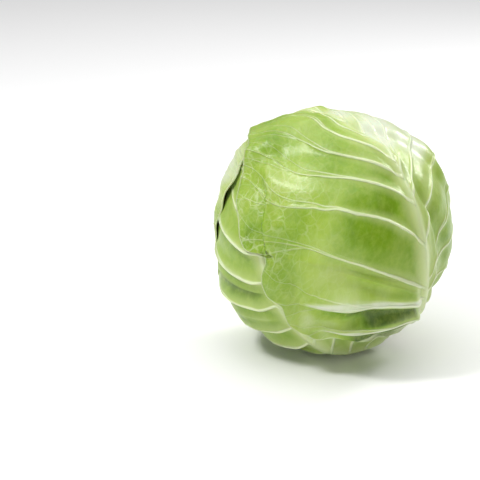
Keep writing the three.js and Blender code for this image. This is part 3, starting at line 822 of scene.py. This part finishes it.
def leafMaterial(name, look):
    # a cabbage leaf: green panels, pale ribs with a pale halo, a fine net, wax bloom, painted shade in
    # hollows and slits, and a whitish sheen that is partly wax and partly painted reflection and highlight
    material, shader, n = newMaterial(name)
    _, (row, outward, step) = n.attribute("veinPlace")
    place, (ribAway, along, leafSeed) = n.attribute("leafPlace")
    _, (inside, midribShare, deepGreenAndShade) = n.attribute("leafFacts")
    out = n.calc("ABSOLUTE", outward)
    ribOut = n.calc("ABSOLUTE", ribAway)

    wobble = n.times(n.minus(n.noise(place, *look["wobbleNoise"]), 0.5), look["wobble"])
    veins = useGroup(n, "sideVeins", Row=row, Outward=outward, Step=step, Leaf=leafSeed, Wobble=wobble)
    net = useGroup(n, "fineNet", Place=place, Cell=look["netCell"])[0]
    bloom = useGroup(n, "waxBloom", Place=place, Amount=look["bloom"])[0]
    # the whitish sheen where the deepness is low: partly wax, partly a painted reflection, and a painted
    # highlight on the pleats' crests
    waxAndPaintedSheen = n.times(n.ease(deepGreenAndShade, *look["sheenDeep"]), n.patches(place, *look["waxAndPaintedSheen"]))

    uneven = n.times(n.minus(n.noise(place, *look["toneNoise"]), 0.5), look["toneSpread"])
    tone = n.minus(n.plus(1.0, uneven), deepGreenAndShade)
    # from the deep green, which also serves as painted shade, to the light green
    colour = n.blend(tone, look["deepGreenAndShade"], look["light"])
    # painted shade: the darkest green where the deepness is highest, in the pleats' hollows, the crease's
    # slit and the deepest spots
    colour = n.blend(n.ease(tone, *look["hollowShadeTone"]), colour, look["hollowShade"])
    patches = n.times(n.patches(place, *look["patches"]), n.ease(tone, *look["patchTone"]))
    colour = n.blend(patches, colour, look["patch"])
    colour = n.blend(n.times(n.patches(place, *look["mottle"]), look["mottleShare"]), colour, look["yellow"])
    nearRib = n.times(n.fall(ribOut, look["ribEdge"], look["ribHalo"]), look["ribHaloShare"])
    halo = n.calc("MAXIMUM", n.times(veins["Halo"], n.ease(out, *look["haloFade"])), nearRib)
    colour = n.blend(halo, colour, look["halo"])
    netFade = n.times(n.ease(ribOut, *look["netRib"]), n.patches(place, *look["netPatches"]))
    netFade = n.times(netFade, n.ease(along, *look["netAlong"]))
    netShare = n.times(n.times(net, look["netStrength"]), netFade)
    colour = n.blend(waxAndPaintedSheen, colour, look["waxAndSheenWhite"])
    colour = n.blend(netShare, colour, look["vein"])
    veinShare = n.times(veins["Vein"], n.times(n.ease(out, *look["veinFade"]), look["veinShare"]))
    colour = n.blend(veinShare, colour, look["vein"])
    colour = n.blend(n.times(waxAndPaintedSheen, look["sheenOver"]), colour, look["waxAndSheenWhite"])
    colour = n.blend(midribShare, colour, look["midrib"])
    colour = n.blend(n.times(n.fall(inside, *look["rim"]), look["rimShare"]), colour, look["vein"])
    colour = n.blend(bloom, colour, look["waxAndSheenWhite"])
    n.put(shader.inputs["Base Color"], colour)

    grain = n.noise(place, *look["grain"])
    rough = n.ease(bloom, 0.0, 0.6, look["roughness"], look["roughness"] + look["waxRoughness"])
    n.put(shader.inputs["Roughness"], n.plus(rough, n.times(grain, look["grainRoughness"])))
    height = n.plus(veins["Height"], n.times(netShare, look["netHeight"]))
    height = n.plus(height, n.times(n.noise(place, *look["waviness"]), look["wavinessHeight"]))
    height = n.plus(height, n.times(grain, look["grainHeight"]))
    n.put(shader.inputs["Normal"], n.bump(height, 1.0, 0.001))
    for title, value in leafFinish.items():
        shader.inputs[title].default_value = value
    return material


stalkLook = {
    "pith": (0.8, 0.8, 0.62),
    "ring": (0.58, 0.62, 0.34),
    "side": (0.6, 0.67, 0.38),
    "dried": (0.42, 0.33, 0.17),
    "ringRadius": 9.4,
    "ringEdge": (0.3, 1.6),
    "rim": (11.2, 12.8),  # radius where the dried rim begins and is full
    "cut": (80.8, 81.5),  # millimetres from the head's centre
    "blotches": ((160.0, 4.0, 0.6), 0.42, 0.7),
    "blotchShare": 0.45,
    "dryShare": 0.75,
    "streaks": ((0.8, 2.0), 0.35, 0.7),
    "streakScale": (14.0, 0.06),  # round the stalk and along it
    "roughness": (0.5, 0.72),
    "grain": (900.0, 3.0),
}


def stalkMaterial(name, look):
    # stalkPlace holds radius, distance along the stalk and angle: streaks along the side, and on the cut
    # end a pith, a ring of strands and a dried rim
    material, shader, n = newMaterial(name)
    _, (radius, distance, angle) = n.attribute("stalkPlace")
    place = n.add("TexCoord").outputs["Object"]
    blotch = n.patches(place, *look["blotches"])
    around, length = look["streakScale"]
    strands = n.add("CombineXYZ", None, X=n.times(n.calc("COSINE", angle), around),
                    Y=n.times(n.calc("SINE", angle), around), Z=n.times(distance, length)).outputs[0]
    streak = n.patches(strands, *look["streaks"])
    side = n.blend(streak, look["side"], look["pith"])
    ringAway = n.calc("ABSOLUTE", n.minus(radius, look["ringRadius"]))
    ring = n.times(n.fall(ringAway, *look["ringEdge"]), n.ease(streak, 0.0, 1.0, 0.4, 1.0))
    end = n.blend(ring, look["pith"], look["ring"])
    dry = n.calc("MAXIMUM", n.ease(radius, *look["rim"]), n.times(blotch, look["blotchShare"]))
    end = n.blend(n.times(dry, look["dryShare"]), end, look["dried"])
    n.put(shader.inputs["Base Color"], n.blend(n.ease(distance, *look["cut"]), side, end))
    n.put(shader.inputs["Roughness"], n.ease(blotch, 0.0, 1.0, *look["roughness"]))
    height = n.plus(n.times(streak, 0.4), n.times(n.noise(place, *look["grain"]), 0.3))
    n.put(shader.inputs["Normal"], n.bump(height, 0.8, 0.0006))
    return material


heartLook = {
    "leaf": (0.56, 0.66, 0.27),
    "pale": (0.7, 0.76, 0.44),
    "vein": (0.82, 0.85, 0.62),
    "patches": ((45.0, 4.0, 0.55), 0.35, 0.68),
    "netCell": 11.0,
    "netStrength": 0.35,
    "roughness": (0.45, 0.6),
}


def heartMaterial(name, look):
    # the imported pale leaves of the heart: yellow-green with whiter patches and a fine net
    material, shader, n = newMaterial(name)
    place = n.add("TexCoord").outputs["Object"]
    patches = n.patches(place, *look["patches"])
    colour = n.blend(patches, look["leaf"], look["pale"])
    net = useGroup(n, "fineNet", Place=n.scaled(place, 1000.0), Cell=look["netCell"])[0]
    n.put(shader.inputs["Base Color"], n.blend(n.times(net, look["netStrength"]), colour, look["vein"]))
    n.put(shader.inputs["Roughness"], n.ease(patches, 0.0, 1.0, *look["roughness"]))
    n.put(shader.inputs["Normal"], n.bump(n.plus(patches, n.times(net, 0.4)), 0.6, 0.001))
    return material


def plainMaterial(name, look):
    material, shader, _ = newMaterial(name)
    shader.inputs["Base Color"].default_value = (*look["colour"], 1)
    shader.inputs["Roughness"].default_value = look["roughness"]
    return material


outerLook = {
    # the first colour is the painted shade's dark green
    "hollowShade": (0.06, 0.12, 0.0),
    "deepGreenAndShade": (0.155, 0.295, 0.0),
    "light": (0.36, 0.49, 0.07),
    "yellow": (0.4, 0.52, 0.08),
    "halo": (0.48, 0.58, 0.2),
    "patch": (0.42, 0.52, 0.18),
    "vein": (0.72, 0.79, 0.5),
    "midrib": (0.58, 0.67, 0.34),
    # whitish colour of the wax bloom and of the sheen, which is partly painted reflection
    "waxAndSheenWhite": (0.68, 0.72, 0.59),
    "bloom": 0.06,
    "netCell": 9.0,
    "netStrength": 0.14,
    "netRib": (35.0, 115.0, 0.4, 2.4),  # from the midrib: begins, full, and the two strengths
    "netAlong": (-10.0, 45.0, 0.25, 1.0),
    "netPatches": ((0.06, 1.0), 0.35, 0.6, 0.3, 1.0),
    "netHeight": 0.3,
    "ribEdge": 3.0,
    "ribHalo": 15.0,  # how far the paler green reaches from the midrib
    "ribHaloShare": 0.85,
    "haloFade": (0.0, 0.75, 0.62, 0.08),
    "veinFade": (0.2, 0.85, 1.0, 0.3),
    "veinShare": 0.9,
    "wobble": 0.12,
    "wobbleNoise": (0.05, 2.0),
    "toneNoise": (0.03, 3.0, 0.55),
    "toneSpread": 1.3,
    "hollowShadeTone": (0.1, -0.5),
    "patches": ((0.055, 3.0, 0.6), 0.5, 0.68),
    "patchTone": (0.3, 1.0, 0.0, 0.4),
    "mottle": ((0.22, 4.0, 0.6), 0.35, 0.75),
    "mottleShare": 0.3,
    # the whitish sheen, partly wax and partly painted reflection and highlight
    "waxAndPaintedSheen": ((0.07, 3.0), 0.3, 0.6, 0.55, 1.0),
    "sheenDeep": (0.25, -0.5, 0.0, 0.72),
    "sheenOver": 0.6,  # how much of the sheen lies over the veins
    "rim": (0.1, 1.4),
    "rimShare": 0.6,
    "roughness": 0.31,
    "waxRoughness": 0.16,
    "grain": (1.6, 3.0, 0.6),
    "grainRoughness": 0.08,
    "grainHeight": 0.03,
    "waviness": (0.3, 3.0, 0.5),
    "wavinessHeight": 0.26,
}
leafFinish = {
    "Coat Weight": 0.06,
    "Coat Roughness": 0.25,
    "Subsurface Weight": 0.08,
    "Subsurface Scale": 0.003,
    "Specular IOR Level": 0.36,
}
looks = {
    "leaf_1_front": {},
    "leaf_2_back": {"deepGreenAndShade": (0.18, 0.31, 0.02), "bloom": 0.15},
    "leaf_3_left": {"deepGreenAndShade": (0.2, 0.33, 0.03), "light": (0.33, 0.47, 0.08), "hollowShade": (0.1, 0.18, 0.01)},
    "leaf_4_right": {"deepGreenAndShade": (0.27, 0.41, 0.06), "light": (0.38, 0.51, 0.12)},
    "leaf_5_underside": {"deepGreenAndShade": (0.33, 0.47, 0.1), "light": (0.43, 0.56, 0.17)},
    "leaf_6_inner_front": {"deepGreenAndShade": (0.41, 0.54, 0.16), "light": (0.5, 0.62, 0.24)},
    "leaf_7_inner_back": {"deepGreenAndShade": (0.48, 0.59, 0.22), "light": (0.56, 0.66, 0.3)},
}

for place, leaf in enumerate(leaves):
    outer, inner, facts = leafSurfaces(leaf, leaves[:place], leaves[place + 1:])
    points, faces = closedSheet(outer, inner)
    both = {title: np.concatenate([values.reshape(-1, 3)] * 2) for title, values in facts.items()}
    piece = makeMesh("dressed_" + leaf["name"], points, faces, both,
                     leafMaterial("skin_" + leaf["name"], {**outerLook, **looks[leaf["name"]]}))
    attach(piece, "root")
    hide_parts(leaf["name"])
    print(leaf["name"], len(faces) * 2, "triangles")


# The stalk: a cone out of the heart, with shallow grooves, a rounded rim and a slightly uneven cut end

stalkShape = {
    "slope": math.tan(math.radians(9.1)),
    "inner": 44.0,  # millimetres from the head's centre
    "shoulder": 80.6,
    "end": [(0.988, 81.3), (0.96, 81.75), (0.91, 81.98), (0.84, 81.95), (0.72, 81.6), (0.6, 81.75),
            (0.42, 81.5), (0.2, 81.65)],  # share of the radius, and millimetres from the head's centre
    "middle": 81.55,
    "rings": 24,
    "sides": 120,
    "grooves": 0.012,
}


def stalkBody():
    # a turned profile round the stalk's line, each ring's radius r (1 + grooves (sin 9a + sin(23a + 1) / 2
    # - 1.2)) at the angle a, closed by a middle point at either end
    shape = stalkShape
    shares, places = zip(*shape["end"])
    along = np.concatenate([np.linspace(shape["inner"], shape["shoulder"], shape["rings"]), places])
    wide = np.concatenate([np.ones(shape["rings"]), shares])
    radius = np.minimum(along, shape["shoulder"] + 1) * shape["slope"] * wide
    angle = np.arange(shape["sides"]) * 2 * math.pi / shape["sides"]
    groove = 1 + shape["grooves"] * (np.sin(9 * angle) + 0.5 * np.sin(23 * angle + 1) - 1.2)
    first = unit(np.cross(stalkWay, frontWay))
    second = np.cross(stalkWay, first)
    outwards = np.cos(angle)[:, None] * first + np.sin(angle)[:, None] * second
    rings = (radius[:, None] * groove)[..., None] * outwards + along[:, None, None] * stalkWay
    middles = np.array([shape["inner"], shape["middle"]])[:, None] * stalkWay
    facts = np.stack(np.broadcast_arrays(radius[:, None], along[:, None], angle), axis=-1)
    middleFacts = np.array([[0, shape["inner"], 0], [0, shape["middle"], 0]])
    index = np.arange(len(radius) * len(angle)).reshape(len(radius), -1)
    after = np.roll(index, -1, axis=1)
    quads = np.stack([index[:-1], after[:-1], after[1:], index[1:]], axis=-1).reshape(-1, 4).tolist()
    ends = [[index.size, b, a] for a, b in zip(index[0].tolist(), after[0].tolist())]
    ends += [[index.size + 1, a, b] for a, b in zip(index[-1].tolist(), after[-1].tolist())]
    points = np.concatenate([rings.reshape(-1, 3), middles])
    return points, quads + ends, np.concatenate([facts.reshape(-1, 3), middleFacts])


points, faces, facts = stalkBody()
stalk = makeMesh("dressed_stalk", points, faces, {"stalkPlace": facts}, stalkMaterial("cut_stalk", stalkLook))
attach(stalk, "root")
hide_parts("stalk")
print("stalk", len(faces), "faces")

heartSkin = heartMaterial("heart_leaves", heartLook)
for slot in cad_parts["heart"].material_slots:
    slot.material = heartSkin


# Camera: 18 degrees above level, as in the picture, with the head's centre right of the middle

camera = {"elevation": 18.0, "distance": 1.1, "lens": 117.0, "sensor": 36, "right": 0.0659, "up": 0.0056}
lights = [  # name, way from the head, distance, size and power
    ("ceiling", (0.0, 0.12, 1.0), 2.2, 3.0, 45),
    ("upperLeft", (-0.55, -0.22, 0.8), 1.3, 0.22, 9),
    ("lowFront", (-0.2, -1.0, 0.06), 1.5, 0.9, 5.0),
    ("behindRight", (0.66, 0.5, 0.48), 1.3, 0.36, 8),
]
room = {"lightsAimAt": 0.08, "surroundings": 0.26}
floorLook = {"reach": 12.0, "colour": (0.92, 0.92, 0.92), "roughness": 0.7}


def placeCamera():
    lift = math.radians(camera["elevation"])
    forward = np.array([0, math.cos(lift), -math.sin(lift)])
    up = np.array([0, math.sin(lift), math.cos(lift)])
    aim = np.array([0, 0, headShape["centreHeight"] / 1000])
    aim = aim - np.array([camera["right"], 0, 0]) - up * camera["up"]
    data = bpy.data.cameras.new("camera")
    data.lens = camera["lens"]
    data.sensor_width = camera["sensor"]
    holder = bpy.data.objects.new("camera", data)
    holder.location = aim - forward * camera["distance"]
    holder.rotation_euler = (math.radians(90 - camera["elevation"]), 0, 0)
    bpy.context.scene.collection.objects.link(holder)
    bpy.context.scene.camera = holder


def softBox(name, way, distance, size, power):  # a square area light, aimed at the head
    data = bpy.data.lights.new(name, "AREA")
    data.size = size
    data.energy = power
    lamp = bpy.data.objects.new(name, data)
    place = unit(way) * distance
    lamp.location = place + np.array([0, 0, room["lightsAimAt"]])
    lamp.rotation_euler = Vector(-place).to_track_quat("-Z", "Y").to_euler()
    bpy.context.scene.collection.objects.link(lamp)


placeCamera()
for light in lights:
    softBox(*light)
print(len(lights), "lights")

floorPoints = np.array([[-1, -1, 0], [1, -1, 0], [1, 1, 0], [-1, 1, 0]]) * floorLook["reach"] * 1000
floorPoints[:, 2] = -headShape["centreHeight"]
floor = makeMesh("floor", floorPoints, np.array([[0, 1, 2, 3]]), {}, plainMaterial("floorWhite", floorLook))

world = bpy.data.worlds.new("softRoom")
bpy.context.scene.world = world
world.use_nodes = True
world.node_tree.nodes["Background"].inputs["Color"].default_value = (1, 1, 1, 1)
world.node_tree.nodes["Background"].inputs["Strength"].default_value = room["surroundings"]
bpy.context.scene.view_settings.view_transform = "Standard"
